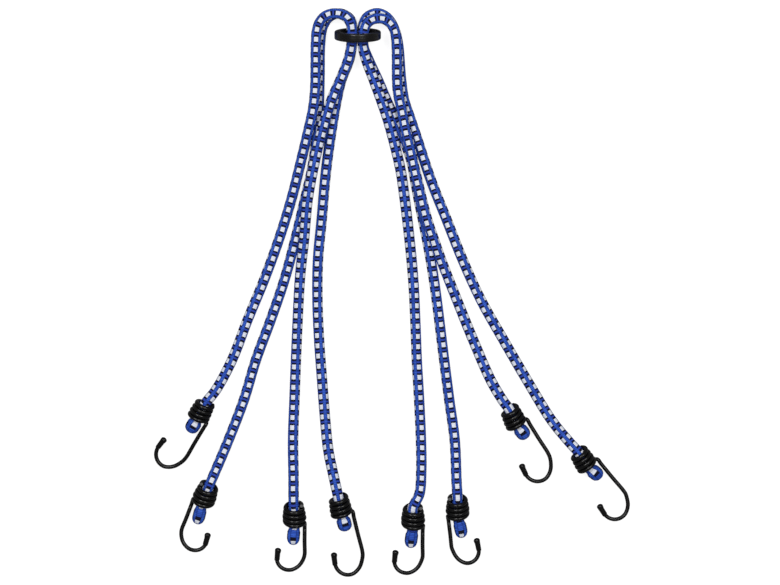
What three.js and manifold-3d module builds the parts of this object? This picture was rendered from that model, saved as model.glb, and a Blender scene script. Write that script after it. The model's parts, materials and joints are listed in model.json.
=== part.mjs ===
// Spider bungee strap: four braided elastic cords that pass through one plastic ring.
// Each cord is folded over at the ring, so eight legs fan out, and each leg ends in a
// wire hook whose coil grips the cord just before the swollen knob at its end.
// Units are millimetres, +Z is up, and the strap lies on the plane z = 0.

import * as THREE from "three";
import { mergeVertices } from "three/addons/utils/BufferGeometryUtils.js";
import Module from "manifold-3d";

const wasm = await Module();
wasm.setup();

// Driving dimensions, in millimetres and degrees.
const FLOOR_GAP = 0.05;
const WELD_DISTANCE = 1e-4;

const CORD_RADIUS = 4.1;
const CORD_SIDES = 8;
const CORD_STEPS = 80;
const CORD_REST = CORD_RADIUS * Math.cos(Math.PI / CORD_SIDES);

const KNOB_EDGE = 3.2;
const KNOB_REST = 6.1;
const KNOB_SIDES = 10;
const KNOB_FROM_COIL = 9;
const KNOB_DIP = 0.4;

const WIRE_RADIUS = 1.6;
const WIRE_SIDES = 6;
const WIRE_REST = WIRE_RADIUS + FLOOR_GAP;

const COIL_TURNS = 4;
const COIL_PITCH = 3.8;
const COIL_LENGTH = COIL_TURNS * COIL_PITCH;
const COIL_MOUTH_RADIUS = 6.2;
const COIL_WIDEST_AT = 0.65;
const COIL_POINTS_PER_TURN = 12;
const SHANK_AND_BOW_STEPS = 18;
const TIP_RISE = 5.8;

const CAP_RADIUS = 2.1;
const CAP_LENGTH = 9;
const CAP_OVERHANG = 0.6;
const CAP_EDGE = 1.2;
const CAP_SIDES = 8;
const CAP_CLEARANCE = 0.25;
const CAP_REST = CAP_RADIUS + CAP_CLEARANCE;

const RING_OUTER_RADIUS = 18.15;
const RING_INNER_RADIUS = 13.2;
const RING_THICKNESS = 6.6;
const RING_EDGE = 1.2;
const RING_SEGMENTS = 28;
const RING_TILT = 12.5;
const RING_X = -26.8;
const RING_Y = 208.4;

const degrees = (angle) => THREE.MathUtils.degToRad(angle);
const vector = (x, y, z) => new THREE.Vector3(x, y, z);

// Materials.
const sheath = new THREE.MeshStandardMaterial({ color: 0x3454be, roughness: 0.75, metalness: 0 });
const coatedWire = new THREE.MeshStandardMaterial({ color: 0x0c0c0d, roughness: 0.4, metalness: 0 });
const ringPlastic = new THREE.MeshStandardMaterial({ color: 0x17181a, roughness: 0.5, metalness: 0 });

// One row per hook. mouth: where the cord enters the coil. heading: where the coil's axis
// points, seen from above. tilt: how far the mouth is raised. wide: radius of the wide end.
// side: 1 where the shank is on the left of the heading, -1 on the right. wind: 1 where the
// last turn comes up at the shank, -1 where it goes down. leave: angle at which it ends.
// shank, shankLift: where the straight shank starts and its height over the coil's axis.
// bow, bowHeading, bowWidth, bowDepth: where the round hook starts, and its size.
// knob, knobRadius, knobLength: the middle and the size of the cord's swollen end.
const hookRows = [
  { name: "hook_1", mouth: [-145.6, -78.6], heading: -118, tilt: 22, wide: 7.2, side: 1,
    wind: 1, leave: -30, shank: [-145.1, -94.6], shankLift: 1.5, bow: [-162.2, -122.6], bowHeading: -121,
    bowWidth: 22.7, bowDepth: 13.6, knob: [-156.0, -96.8], knobRadius: 5.6, knobLength: 11 },
  { name: "hook_2", mouth: [-142.8, -143.2], heading: -112.6, tilt: 29, wide: 7.7, side: -1,
    wind: -1, leave: 12, shank: [-157.0, -158.0], shankLift: -4.5, bow: [-165.1, -179.0], bowHeading: -111,
    bowWidth: 21.3, bowDepth: 10.9, knob: [-151.1, -167.4], knobRadius: 5, knobLength: 12.5 },
  { name: "hook_3", mouth: [-76.7, -158.2], heading: -87.4, tilt: 29, wide: 7.7, side: 1,
    wind: -1, leave: 12, shank: [-68.4, -176.0], shankLift: -4.5, bow: [-68.6, -198.5], bowHeading: -90,
    bowWidth: 21.5, bowDepth: 11.1, knob: [-77.2, -183.5], knobRadius: 5, knobLength: 12.5 },
  { name: "hook_4", mouth: [-41.9, -152.3], heading: -78.7, tilt: 22, wide: 7.2, side: 1,
    wind: 1, leave: -50, shank: [-31.0, -163.4], shankLift: -2.5, bow: [-23.0, -196.8], bowHeading: -76.5,
    bowWidth: 22.9, bowDepth: 13.7, knob: [-37.2, -173.5], knobRadius: 5.6, knobLength: 11 },
  { name: "hook_5", mouth: [16.3, -160.0], heading: -89, tilt: 29, wide: 7.8, side: 1,
    wind: -1, leave: 12, shank: [24.0, -178.6], shankLift: -4.5, bow: [23.8, -200.2], bowHeading: -90,
    bowWidth: 21.9, bowDepth: 11.8, knob: [14.9, -185.8], knobRadius: 5, knobLength: 12.5 },
  { name: "hook_6", mouth: [51.0, -152.6], heading: -89.1, tilt: 29, wide: 7.7, side: -1,
    wind: -1, leave: 12, shank: [44.2, -170.8], shankLift: -4.5, bow: [46.9, -192.9], bowHeading: -84,
    bowWidth: 20.8, bowDepth: 12.6, knob: [53.9, -178.0], knobRadius: 5, knobLength: 12.5 },
  { name: "hook_7", mouth: [91.6, -83.5], heading: -64.5, tilt: 22, wide: 7.2, side: 1,
    wind: 1, leave: -50, shank: [105.4, -91.4], shankLift: -2.5, bow: [123.2, -120.0], bowHeading: -58,
    bowWidth: 23.4, bowDepth: 13.8, knob: [102.3, -101.9], knobRadius: 5.6, knobLength: 11 },
  { name: "hook_8", mouth: [145.5, -116.9], heading: -56.8, tilt: 22, wide: 7.2, side: 1,
    wind: 1, leave: -50, shank: [160.6, -122.6], shankLift: -2.5, bow: [182.7, -149.5], bowHeading: -51.3,
    bowWidth: 22.8, bowDepth: 13, knob: [159.5, -133.7], knobRadius: 5.6, knobLength: 11 },
];

// The round hook's centreline as shares of its width and depth, from shank to tip.
const bowProfile = [
  [0.05, 0.24], [0.14, 0.56], [0.3, 0.84], [0.53, 1.0], [0.76, 0.92],
  [0.92, 0.68], [1.0, 0.34], [0.99, -0.04],
];
const TIP_WIDTH = 0.95;

// One row per cord. The route runs from the first hook's coil, up its leg, over the fold,
// down through the ring and along the second leg: x, y, and how far the cord is lifted.
const cordRows = [
  { name: "cord_1", from: "hook_1", to: "hook_3", route: [
    [-137.7, -68.6, 9.2], [-125.2, -45.1, 4.4], [-113.1, -13.7, 0.7], [-100.2, 17.6, 0],
    [-88.7, 49.0, 0], [-78.9, 80.4, 0], [-71.0, 111.7, 0.6], [-65.2, 135.2, 5.8],
    [-61.7, 150.9, 7.9], [-60.0, 166.6, 8.4], [-59.6, 186.2, 8.5], [-59.4, 201.9, 8.5],
    [-58.4, 213.4, 8.7], [-55.3, 220.5, 9.5], [-50.2, 224.4, 10.7], [-43.3, 225.3, 12.3],
    [-36.5, 223.2, 13.9], [-32.3, 217.8, 15.2], [-31.1, 208.9, 15.6], [-31.6, 201.1, 14.1],
    [-33.9, 190.1, 10.3], [-40.1, 174.4, 8.6], [-47.0, 158.8, 8.4], [-52.1, 143.1, 8.4],
    [-56.4, 127.4, 8.4], [-61.7, 103.9, 8.4], [-65.9, 80.4, 8.4], [-67.5, 64.7, 7.6],
    [-68.8, 49.0, 5.3], [-70.7, 33.3, 1.3], [-72.2, 17.6, 0], [-74.6, -29.4, 0],
    [-76.4, -76.4, 0.7], [-77.4, -107.8, 4.4], [-76.9, -135.2, 9.8],
  ] },
  { name: "cord_2", from: "hook_2", to: "hook_4", route: [
    [-136.0, -127.4, 10.9], [-127.9, -107.8, 6.6], [-116.0, -76.4, 1.4], [-106.6, -45.1, 0],
    [-95.0, -13.7, 0], [-84.3, 17.6, 0], [-75.8, 49.0, 0], [-68.2, 80.4, 0],
    [-62.7, 103.9, 0], [-59.2, 127.4, 0], [-57.5, 150.9, 0], [-56.8, 176.0, 0],
    [-56.4, 201.9, 0], [-54.9, 213.8, 0], [-52.1, 220.1, 0.8], [-48.4, 224.0, 1.9],
    [-42.5, 226.0, 3.5], [-36.6, 224.6, 5.0], [-32.4, 220.6, 6.4], [-31.0, 215.0, 7.2],
    [-31.1, 208.9, 7.2], [-31.5, 201.1, 5.6], [-33.5, 190.1, 1.7], [-39.6, 174.4, 0],
    [-43.3, 158.8, 0], [-49.6, 119.6, 0], [-52.4, 96.0, 0], [-55.1, 64.7, 0],
    [-58.0, 33.3, 0], [-58.4, 2.0, 0], [-57.1, -29.4, 0], [-54.8, -60.8, 0],
    [-52.3, -92.1, 1.2], [-49.8, -115.6, 4.6], [-45.7, -135.2, 8.8],
  ] },
  { name: "cord_3", from: "hook_7", to: "hook_5", route: [
    [86.4, -76.4, 9.7], [77.2, -60.8, 6.9], [63.5, -29.4, 1.5], [50.8, 2.0, 0],
    [38.4, 33.3, 3.1], [32.8, 49.0, 6.8], [27.4, 64.7, 8.1], [19.6, 96.0, 8.5],
    [14.1, 119.6, 8.5], [10.4, 135.2, 8.5], [7.3, 150.9, 8.5], [4.4, 166.6, 8.5],
    [3.6, 201.9, 8.5], [2.2, 212.0, 8.9], [-0.8, 217.4, 9.9], [-5.5, 220.8, 11.3],
    [-11.0, 221.6, 12.7], [-16.6, 220.0, 14.1], [-20.6, 216.0, 15.1], [-22.3, 209.6, 15.4],
    [-22.9, 201.1, 14.1], [-20.4, 190.1, 10.3], [-14.5, 174.4, 8.6], [-8.8, 158.8, 7.8],
    [-3.4, 143.1, 6.4], [1.0, 127.4, 3.2], [6.6, 103.9, 0], [10.0, 80.4, 0],
    [13.7, 49.0, 0], [16.6, 17.6, 0], [18.2, -13.7, 0], [19.4, -45.1, 0],
    [21.2, -76.4, 0], [22.6, -107.8, 4.0], [22.8, -131.3, 8.6], [21.4, -149.0, 11.9],
  ] },
  { name: "cord_4", from: "hook_8", to: "hook_6", route: [
    [137.4, -107.8, 9.4], [124.7, -92.1, 5.6], [105.6, -60.8, 0.9], [87.3, -29.4, 0],
    [69.6, 2.0, 0], [55.3, 33.3, 0], [42.8, 64.7, 0], [30.4, 96.0, 0],
    [19.9, 127.4, 0], [14.6, 143.1, 0], [9.4, 158.8, 0], [7.1, 174.4, 0],
    [4.6, 203.0, 0], [1.6, 214.4, 0.8], [-3.0, 222.0, 2.2], [-9.4, 225.9, 3.7],
    [-15.8, 225.3, 5.1], [-20.6, 221.5, 6.4], [-22.6, 216.0, 7.2], [-22.5, 208.9, 7.2],
    [-22.3, 200.0, 5.2], [-18.4, 190.1, 1.5], [-11.1, 174.4, 0], [-4.5, 158.8, 0],
    [2.5, 143.1, 0], [9.1, 127.4, 0], [14.9, 111.7, 0], [18.0, 96.0, 0],
    [20.9, 80.4, 0], [27.4, 49.0, 0], [32.8, 17.6, 0], [40.8, -45.1, 0],
    [44.8, -76.4, 1.0], [49.0, -107.8, 5.2], [50.2, -137.6, 11.3],
  ] },
];

// A curve through points whose steps are shared out evenly between them, so that a tube
// along it has short steps in a tight bend and long ones on a straight run.
class SteppedCurve extends THREE.CatmullRomCurve3 {
  constructor(points) {
    super(points, false, "centripetal");
  }

  getPointAt(share, target) {
    return this.getPoint(share, target);
  }

  getTangentAt(share, target) {
    return this.getTangent(share, target);
  }
}

// A cord's curve: it never dips into the floor, and its sections stay upright, so that the
// cord keeps a flat face to the floor.
class CordCurve extends SteppedCurve {
  getPoint(share, target) {
    const point = super.getPoint(share, target);
    point.z = Math.max(point.z, CORD_REST);
    return point;
  }

  computeFrenetFrames(segments) {
    const up = vector(0, 0, 1);
    const frames = { tangents: [], normals: [], binormals: [] };
    for (let i = 0; i <= segments; i += 1) {
      const tangent = this.getTangentAt(i / segments);
      const normal = tangent.clone().cross(up).normalize();
      frames.tangents.push(tangent);
      frames.normals.push(normal);
      frames.binormals.push(tangent.clone().cross(normal));
    }
    return frames;
  }
}

// A regular polygon with a flat side at the bottom, as the section of a tube.
function sectionOf(radius, sides) {
  const section = new THREE.Shape();
  for (let i = 0; i < sides; i += 1) {
    const angle = ((i + 0.5) / sides) * Math.PI * 2;
    const x = radius * Math.cos(angle);
    const y = radius * Math.sin(angle);
    if (i === 0) section.moveTo(x, y);
    else section.lineTo(x, y);
  }
  section.closePath();
  return section;
}

function tubeAlong(curve, radius, sides, steps) {
  return new THREE.ExtrudeGeometry(sectionOf(radius, sides), {
    steps,
    bevelEnabled: false,
    extrudePath: curve,
  });
}

// A closed mesh as a solid, and a solid as a mesh again.
function solidOf(geometry) {
  const plain = geometry.clone();
  plain.deleteAttribute("normal");
  plain.deleteAttribute("uv");
  const merged = mergeVertices(plain, WELD_DISTANCE);
  return new wasm.Manifold(
    new wasm.Mesh({
      numProp: 3,
      vertProperties: merged.attributes.position.array,
      triVerts: new Uint32Array(merged.index.array),
    }),
  );
}

function geometryOf(solid) {
  const mesh = solid.getMesh();
  const geometry = new THREE.BufferGeometry();
  geometry.setAttribute("position", new THREE.BufferAttribute(mesh.vertProperties, 3));
  geometry.setIndex(new THREE.BufferAttribute(mesh.triVerts, 1));
  geometry.computeVertexNormals();
  return geometry;
}

// A round pill with blunt, rounded ends, turned so that its axis follows a direction.
function pill(radius, length, edge, sides, middle, direction) {
  const half = length / 2;
  const slant = edge * (1 - Math.SQRT1_2);
  const profile = [
    new THREE.Vector2(0, -half),
    new THREE.Vector2(radius - edge, -half),
    new THREE.Vector2(radius - slant, -half + slant),
    new THREE.Vector2(radius, -half + edge),
    new THREE.Vector2(radius, half - edge),
    new THREE.Vector2(radius - slant, half - slant),
    new THREE.Vector2(radius - edge, half),
    new THREE.Vector2(0, half),
  ];
  const geometry = new THREE.LatheGeometry(profile, sides);
  const axis = direction.clone().normalize();
  const turn = new THREE.Quaternion().setFromUnitVectors(vector(0, 1, 0), axis);
  geometry.applyQuaternion(turn);
  geometry.translate(middle.x, middle.y, middle.z);
  return geometry;
}

// The coil's own frame: along its axis, out to the shank's side, and up.
function coilFrame(row) {
  const heading = degrees(row.heading);
  const tilt = degrees(row.tilt);
  const along = vector(
    Math.cos(heading) * Math.cos(tilt),
    Math.sin(heading) * Math.cos(tilt),
    -Math.sin(tilt),
  );
  const out = vector(-Math.sin(heading), Math.cos(heading), 0).multiplyScalar(row.side);
  const up = vector(
    Math.cos(heading) * Math.sin(tilt),
    Math.sin(heading) * Math.sin(tilt),
    Math.cos(tilt),
  );
  const endHeight = row.wide * Math.cos(tilt) + WIRE_REST;
  const mouthHeight = endHeight + COIL_LENGTH * Math.sin(tilt);
  const mouth = vector(row.mouth[0], row.mouth[1], mouthHeight);
  return { mouth, along, out, up };
}

function pointInCoil(frame, along, out, up) {
  return frame.mouth
    .clone()
    .addScaledVector(frame.along, along)
    .addScaledVector(frame.out, out)
    .addScaledVector(frame.up, up);
}

// The wire's centreline: the coil's turns from its free end at the mouth, the bend into
// the shank, the shank, and the round hook up to its tip.
function wirePoints(row) {
  const frame = coilFrame(row);
  const points = [];
  const count = Math.round(COIL_TURNS * COIL_POINTS_PER_TURN);
  for (let i = 0; i <= count; i += 1) {
    const share = i / count;
    const widening = Math.min(share / COIL_WIDEST_AT, 1);
    const radius = THREE.MathUtils.lerp(COIL_MOUTH_RADIUS, row.wide, widening);
    const turned = row.wind * (share - 1) * COIL_TURNS * Math.PI * 2;
    const angle = degrees(row.leave) + turned;
    const out = radius * Math.cos(angle);
    const up = radius * Math.sin(angle);
    points.push(pointInCoil(frame, share * COIL_LENGTH, out, up));
  }
  const coilEnd = pointInCoil(frame, COIL_LENGTH, 0, 0);
  const start = vector(row.shank[0], row.shank[1], coilEnd.z + row.shankLift);
  const heading = degrees(row.bowHeading);
  const onward = vector(Math.cos(heading), Math.sin(heading), 0);
  const across = vector(Math.sin(heading), -Math.cos(heading), 0).multiplyScalar(row.side);
  const bow = vector(row.bow[0], row.bow[1], 0);
  const run = bow.distanceTo(vector(start.x, start.y, 0));
  const slope = (start.z - WIRE_REST) / (run + row.bowDepth);
  const heightAt = (depth) => WIRE_REST + (row.bowDepth - depth) * slope;
  const bowStart = bow.clone().setZ(heightAt(0));
  const bend = [start, start.clone().lerp(bowStart, 0.5), bowStart];
  const profile = bowProfile.map(([width, depth]) => [width, depth * row.bowDepth]);
  for (const [width, depth] of [...profile, [TIP_WIDTH, -TIP_RISE]]) {
    const point = bow.clone().addScaledVector(across, width * row.bowWidth);
    point.addScaledVector(onward, depth);
    bend.push(point.setZ(heightAt(depth)));
  }
  const smooth = new THREE.CatmullRomCurve3(bend, false, "centripetal");
  return [...points, ...smooth.getSpacedPoints(SHANK_AND_BOW_STEPS)];
}

// A coated wire hook, with the thicker round cap on its tip.
function makeHook(row) {
  const points = wirePoints(row);
  const wire = solidOf(tubeAlong(new SteppedCurve(points), WIRE_RADIUS, WIRE_SIDES, points.length - 1));
  const tip = points[points.length - 1];
  const direction = tip.clone().sub(points[points.length - 3]).normalize();
  const middle = tip.clone().addScaledVector(direction, CAP_OVERHANG - CAP_LENGTH / 2);
  middle.z = Math.max(middle.z, CAP_REST);
  const cap = solidOf(pill(CAP_RADIUS, CAP_LENGTH, CAP_EDGE, CAP_SIDES, middle, direction));
  const mesh = new THREE.Mesh(geometryOf(wire.add(cap)), coatedWire);
  mesh.name = row.name;
  return mesh;
}

// The cord's points inside a hook: through the coil's axis and out to the knob.
function gripPoints(row) {
  const frame = coilFrame(row);
  const knobHeight = Math.max(pointInCoil(frame, COIL_LENGTH + KNOB_FROM_COIL, 0, 0).z, KNOB_REST);
  return {
    mouth: pointInCoil(frame, 0, 0, 0),
    middle: pointInCoil(frame, COIL_LENGTH / 2, 0, 0),
    end: pointInCoil(frame, COIL_LENGTH, 0, 0),
    knob: vector(row.knob[0], row.knob[1], knobHeight),
    along: frame.along,
  };
}

function makeCord(row) {
  const from = hookRows.find((hook) => hook.name === row.from);
  const to = hookRows.find((hook) => hook.name === row.to);
  const first = gripPoints(from);
  const last = gripPoints(to);
  const route = row.route.map(([x, y, lift]) => vector(x, y, CORD_REST + lift));
  const points = [
    first.knob, first.end, first.middle, first.mouth,
    ...route,
    last.mouth, last.middle, last.end, last.knob,
  ];
  let cord = solidOf(tubeAlong(new CordCurve(points), CORD_RADIUS, CORD_SIDES, CORD_STEPS));
  for (const [hook, grip] of [[from, first], [to, last]]) {
    const direction = grip.knob.clone().sub(grip.end).normalize().add(grip.along);
    direction.z = Math.max(direction.z, -KNOB_DIP);
    cord = cord.add(
      solidOf(pill(hook.knobRadius, hook.knobLength, KNOB_EDGE, KNOB_SIDES, grip.knob, direction)),
    );
  }
  const mesh = new THREE.Mesh(geometryOf(cord), sheath);
  mesh.name = row.name;
  return mesh;
}

// The moulded ring, standing on edge with the cords through it.
function makeRing() {
  const half = RING_THICKNESS / 2;
  const inner = RING_INNER_RADIUS;
  const outer = RING_OUTER_RADIUS;
  const profile = [
    new THREE.Vector2(inner, -half + RING_EDGE),
    new THREE.Vector2(inner + RING_EDGE, -half),
    new THREE.Vector2(outer - RING_EDGE, -half),
    new THREE.Vector2(outer, -half + RING_EDGE),
    new THREE.Vector2(outer, half - RING_EDGE),
    new THREE.Vector2(outer - RING_EDGE, half),
    new THREE.Vector2(inner + RING_EDGE, half),
    new THREE.Vector2(inner, half - RING_EDGE),
    new THREE.Vector2(inner, -half + RING_EDGE),
  ];
  const mesh = new THREE.Mesh(new THREE.LatheGeometry(profile, RING_SEGMENTS), ringPlastic);
  const tilt = degrees(RING_TILT);
  const height = outer * Math.cos(tilt) + (half - RING_EDGE) * Math.sin(tilt) + FLOOR_GAP;
  mesh.rotation.x = tilt;
  mesh.position.set(RING_X, RING_Y, height);
  mesh.name = "ring";
  return mesh;
}

const strap = new THREE.Group();
for (const row of cordRows) strap.add(makeCord(row));
for (const row of hookRows) strap.add(makeHook(row));
strap.add(makeRing());

export default strap;
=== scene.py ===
# %% [markdown]
# This lesson dresses a spider bungee strap: four braided elastic cords that pass through one
# plastic ring, with a coated wire hook on each of their eight ends. The imported model gives every
# size. The first step loads it.

# %% Load the imported model
import json
import math

import bpy
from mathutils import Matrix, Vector

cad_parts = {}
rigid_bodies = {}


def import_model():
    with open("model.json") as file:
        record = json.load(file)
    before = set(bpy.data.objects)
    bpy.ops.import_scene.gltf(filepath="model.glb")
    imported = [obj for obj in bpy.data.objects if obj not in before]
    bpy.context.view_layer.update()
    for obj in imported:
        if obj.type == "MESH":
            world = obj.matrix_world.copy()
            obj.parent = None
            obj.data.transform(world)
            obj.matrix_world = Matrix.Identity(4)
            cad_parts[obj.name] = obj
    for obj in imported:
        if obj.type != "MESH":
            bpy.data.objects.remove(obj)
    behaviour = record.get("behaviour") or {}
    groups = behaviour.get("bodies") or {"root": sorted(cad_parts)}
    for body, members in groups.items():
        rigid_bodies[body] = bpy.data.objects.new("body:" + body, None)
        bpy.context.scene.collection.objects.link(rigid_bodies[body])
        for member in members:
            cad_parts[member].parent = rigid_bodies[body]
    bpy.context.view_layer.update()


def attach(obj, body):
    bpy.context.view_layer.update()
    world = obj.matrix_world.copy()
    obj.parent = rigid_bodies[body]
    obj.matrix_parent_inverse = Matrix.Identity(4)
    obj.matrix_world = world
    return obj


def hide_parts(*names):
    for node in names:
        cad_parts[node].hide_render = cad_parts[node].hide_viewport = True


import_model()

# %% [markdown]
# The strap is seen from straight above, so the camera looks down from three metres up. A long
# lens keeps the cords on the floor and those on top of them at the same scale. The lens follows
# from the width of floor that the picture takes in.

# %% Camera
CAMERA_PLACE = (-0.0016, 0.0078, 3.0)
SENSOR_WIDTH = 36.0
PICTURE_WIDTH = 0.6115

camera_data = bpy.data.cameras.new("overhead_camera")
camera_data.sensor_width = SENSOR_WIDTH
camera_data.lens = SENSOR_WIDTH * CAMERA_PLACE[2] / PICTURE_WIDTH
camera_data.clip_start = 0.01
camera = bpy.data.objects.new("overhead_camera", camera_data)
camera.location = CAMERA_PLACE
bpy.context.scene.collection.objects.link(camera)
bpy.context.scene.camera = camera
print("lens:", round(camera_data.lens, 1), "mm")

# %% [markdown]
# Every hook is described by one row of sizes: where the cord enters its coil, which way the coil
# points, how far its mouth is raised, on which side the straight shank lies, and where the round
# bow starts. The cords need these rows too, because each one runs through the middle of two
# coils and ends in a swollen knob just beyond them.

# %% Sizes of the hooks, in metres and degrees
WIRE_RADIUS = 0.0016
WIRE_REST = 0.00165
COIL_TURNS = 4
COIL_PITCH = 0.0038
COIL_LENGTH = COIL_TURNS * COIL_PITCH
COIL_MOUTH_RADIUS = 0.0062
COIL_WIDEST_AT = 0.65
POINTS_PER_TURN = 12
KNOB_REST = 0.0061
KNOB_FROM_COIL = 0.009
KNOB_DIP = 0.4

hook_rows = [
    {"name": "hook_1", "mouth": (-0.1456, -0.0786), "heading": -118, "tilt": 22, "wide": 0.0072,
     "side": 1, "wind": 1, "leave": -30, "shank": (-0.1451, -0.0946), "shank_lift": 0.0015,
     "bow": (-0.1622, -0.1226), "bow_heading": -121, "bow_width": 0.0227, "bow_depth": 0.0136,
     "knob": (-0.156, -0.0968), "knob_radius": 0.0056, "knob_length": 0.011},
    {"name": "hook_2", "mouth": (-0.1428, -0.1432), "heading": -112.6, "tilt": 29, "wide": 0.0077,
     "side": -1, "wind": -1, "leave": 12, "shank": (-0.157, -0.158), "shank_lift": -0.0045,
     "bow": (-0.1651, -0.179), "bow_heading": -111, "bow_width": 0.0213, "bow_depth": 0.0109,
     "knob": (-0.1511, -0.1674), "knob_radius": 0.005, "knob_length": 0.0125},
    {"name": "hook_3", "mouth": (-0.0767, -0.1582), "heading": -87.4, "tilt": 29, "wide": 0.0077,
     "side": 1, "wind": -1, "leave": 12, "shank": (-0.0684, -0.176), "shank_lift": -0.0045,
     "bow": (-0.0686, -0.1985), "bow_heading": -90, "bow_width": 0.0215, "bow_depth": 0.0111,
     "knob": (-0.0772, -0.1835), "knob_radius": 0.005, "knob_length": 0.0125},
    {"name": "hook_4", "mouth": (-0.0419, -0.1523), "heading": -78.7, "tilt": 22, "wide": 0.0072,
     "side": 1, "wind": 1, "leave": -50, "shank": (-0.031, -0.1634), "shank_lift": -0.0025,
     "bow": (-0.023, -0.1968), "bow_heading": -76.5, "bow_width": 0.0229, "bow_depth": 0.0137,
     "knob": (-0.0372, -0.1735), "knob_radius": 0.0056, "knob_length": 0.011},
    {"name": "hook_5", "mouth": (0.0163, -0.16), "heading": -89, "tilt": 29, "wide": 0.0078,
     "side": 1, "wind": -1, "leave": 12, "shank": (0.024, -0.1786), "shank_lift": -0.0045,
     "bow": (0.0238, -0.2002), "bow_heading": -90, "bow_width": 0.0219, "bow_depth": 0.0118,
     "knob": (0.0149, -0.1858), "knob_radius": 0.005, "knob_length": 0.0125},
    {"name": "hook_6", "mouth": (0.051, -0.1526), "heading": -89.1, "tilt": 29, "wide": 0.0077,
     "side": -1, "wind": -1, "leave": 12, "shank": (0.0442, -0.1708), "shank_lift": -0.0045,
     "bow": (0.0469, -0.1929), "bow_heading": -84, "bow_width": 0.0208, "bow_depth": 0.0126,
     "knob": (0.0539, -0.178), "knob_radius": 0.005, "knob_length": 0.0125},
    {"name": "hook_7", "mouth": (0.0916, -0.0835), "heading": -64.5, "tilt": 22, "wide": 0.0072,
     "side": 1, "wind": 1, "leave": -50, "shank": (0.1054, -0.0914), "shank_lift": -0.0025,
     "bow": (0.1232, -0.12), "bow_heading": -58, "bow_width": 0.0234, "bow_depth": 0.0138,
     "knob": (0.1023, -0.1019), "knob_radius": 0.0056, "knob_length": 0.011},
    {"name": "hook_8", "mouth": (0.1455, -0.1169), "heading": -56.8, "tilt": 22, "wide": 0.0072,
     "side": 1, "wind": 1, "leave": -50, "shank": (0.1606, -0.1226), "shank_lift": -0.0025,
     "bow": (0.1827, -0.1495), "bow_heading": -51.3, "bow_width": 0.0228, "bow_depth": 0.013,
     "knob": (0.1595, -0.1337), "knob_radius": 0.0056, "knob_length": 0.011},
]
hooks_by_name = {row["name"]: row for row in hook_rows}
print("hooks:", len(hook_rows))

# %% [markdown]
# A smooth line through a few points is a chain of cubic curves, one from each point to the next.
# Where two of them meet, they share a direction that follows from the points on both sides. The
# centripetal kind is used, as in the model's source, because it never loops or overshoots where
# points lie close together.


# %% Smooth lines
def smooth_line(points, steps_between):
    """Points along a centripetal chain of cubic curves through the given points."""
    first = points[0] * 2 - points[1]
    last = points[-1] * 2 - points[-2]
    padded = [first, *points, last]
    line = []
    for i in range(1, len(padded) - 2):
        a, b, c, d = padded[i - 1 : i + 3]
        before, between, after = [math.sqrt((q - p).length) for p, q in ((a, b), (b, c), (c, d))]
        leave = (b - a) / before - (c - a) / (before + between) + (c - b) / between
        arrive = (c - b) / between - (d - b) / (between + after) + (d - c) / after
        leave, arrive = leave * between, arrive * between
        for step in range(steps_between):
            t = step / steps_between
            square = b * -3 + c * 3 - leave * 2 - arrive
            cube = b * 2 - c * 2 + leave + arrive
            line.append(b + leave * t + square * t * t + cube * t * t * t)
    return [*line, points[-1]]


def distances(line):
    """How far along a line each of its points is."""
    total = [0.0]
    for a, b in zip(line, line[1:]):
        total.append(total[-1] + (b - a).length)
    return total


def places_along(line, wanted):
    """The points that lie at the wanted distances along a line, given in rising order."""
    along = distances(line)
    found = []
    i = 0
    for distance in wanted:
        while i < len(line) - 2 and along[i + 1] < distance:
            i += 1
        share = (distance - along[i]) / (along[i + 1] - along[i])
        found.append(line[i].lerp(line[i + 1], share))
    return found


def between_rows(rows, x):
    """A value read from rows of (x, value), going straight from each row to the next."""
    for (x0, v0), (x1, v1) in zip(rows, rows[1:]):
        if x <= x1:
            return v0 + (v1 - v0) * max(x - x0, 0) / (x1 - x0)
    return rows[-1][1]


# %% [markdown]
# The coil has a frame of its own: along its axis, out to the side of the shank, and up. The cord
# goes through it on the axis.


# %% Frame of a coil
def coil_frame(row):
    heading, tilt = math.radians(row["heading"]), math.radians(row["tilt"])
    flat = Vector((math.cos(heading), math.sin(heading), 0))
    along = flat * math.cos(tilt) - Vector((0, 0, math.sin(tilt)))
    out = Vector((-math.sin(heading), math.cos(heading), 0)) * row["side"]
    up = flat * math.sin(tilt) + Vector((0, 0, math.cos(tilt)))
    end_height = row["wide"] * math.cos(tilt) + WIRE_REST
    mouth = Vector((*row["mouth"], end_height + COIL_LENGTH * math.sin(tilt)))
    return mouth, along, out, up


def cord_in_coil(row):
    """Where the cord enters a coil, is halfway, comes out, and has the middle of its knob."""
    mouth, along = coil_frame(row)[:2]
    beyond = mouth + along * (COIL_LENGTH + KNOB_FROM_COIL)
    knob = Vector((*row["knob"], max(beyond.z, KNOB_REST)))
    return mouth, mouth + along * (COIL_LENGTH / 2), mouth + along * COIL_LENGTH, knob


def knob_tip(row):
    """The very end of the cord: half a knob's length on from the middle of the knob."""
    end, knob = cord_in_coil(row)[2:]
    onward = (knob - end).normalized() + coil_frame(row)[1]
    onward.z = max(onward.z, -KNOB_DIP)
    return knob + onward.normalized() * (row["knob_length"] / 2)


# %% [markdown]
# Each cord is one length that runs from a hook, up its leg, over a fold, down through the ring
# and along a second leg to another hook. The route is a list of points: across, away, and how
# far the cord is lifted off the floor where it lies on another. The braid also turns slowly
# round the cord, so each cord has a list of how far its white flecks are turned from the top.
# The yarn stands out a little from the nominal diameter.

# %% Routes of the cords, in metres
CORD_RADIUS = 0.0041
CORD_REST = 0.003788

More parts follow.
